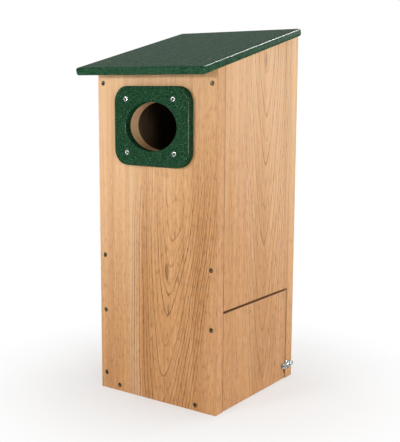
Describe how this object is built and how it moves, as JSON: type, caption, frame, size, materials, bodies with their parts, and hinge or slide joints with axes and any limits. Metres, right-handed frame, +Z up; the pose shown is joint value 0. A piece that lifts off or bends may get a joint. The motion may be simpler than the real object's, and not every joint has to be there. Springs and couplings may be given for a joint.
{
  "type": "wood duck nest box",
  "caption": "Cedar nest box for wood ducks with a sloping roof board, a guard plate round its oval entrance and a cleanout door kept shut by a turn button.",
  "frame": {"origin": "middle of the underside, half way between the outer faces of the front and back walls", "axes": "+X to the box's right as seen from the front, towards the cleanout door; +Y to the back wall; +Z up"},
  "size_m": [0.2552, 0.2948, 0.6215],
  "materials": {
    "cedar": "bare planed cedar",
    "green_board": "dark green recycled plastic board with fine specks",
    "screw_steel": "coated steel screws",
    "zinc_steel": "bright zinc plate"
  },
  "bodies": {
    "house": {"front_wall": "cedar", "back_wall": "cedar", "left_wall": "cedar", "right_wall": "cedar", "floor_board": "cedar", "roof_board": "green_board", "entrance_guard": "green_board", "front_left_screws": "screw_steel", "front_right_screws": "screw_steel", "front_floor_screws": "screw_steel", "back_left_screws": "screw_steel", "back_right_screws": "screw_steel", "back_floor_screws": "screw_steel", "door_pivot_screw_front": "screw_steel", "door_pivot_screw_back": "screw_steel", "guard_screws": "zinc_steel", "roof_front_screws": "screw_steel", "roof_back_screws": "screw_steel", "latch_washer": "zinc_steel", "latch_screw": "zinc_steel"},
    "door": {"cleanout_door": "cedar"},
    "turn_button": {"latch_button": "zinc_steel"}
  },
  "joints": [
    {"name": "door_swing", "type": "hinge", "parent": "house", "child": "door", "pos_m": [0.11065, 0, 0.1405], "axis": [0, -1, 0], "range_deg": [0, 125]},
    {"name": "button_turn", "type": "hinge", "parent": "house", "child": "turn_button", "pos_m": [0.1222, 0.1083, 0.025], "axis": [-1, 0, 0], "range_deg": [-90, 90]}
  ]
}
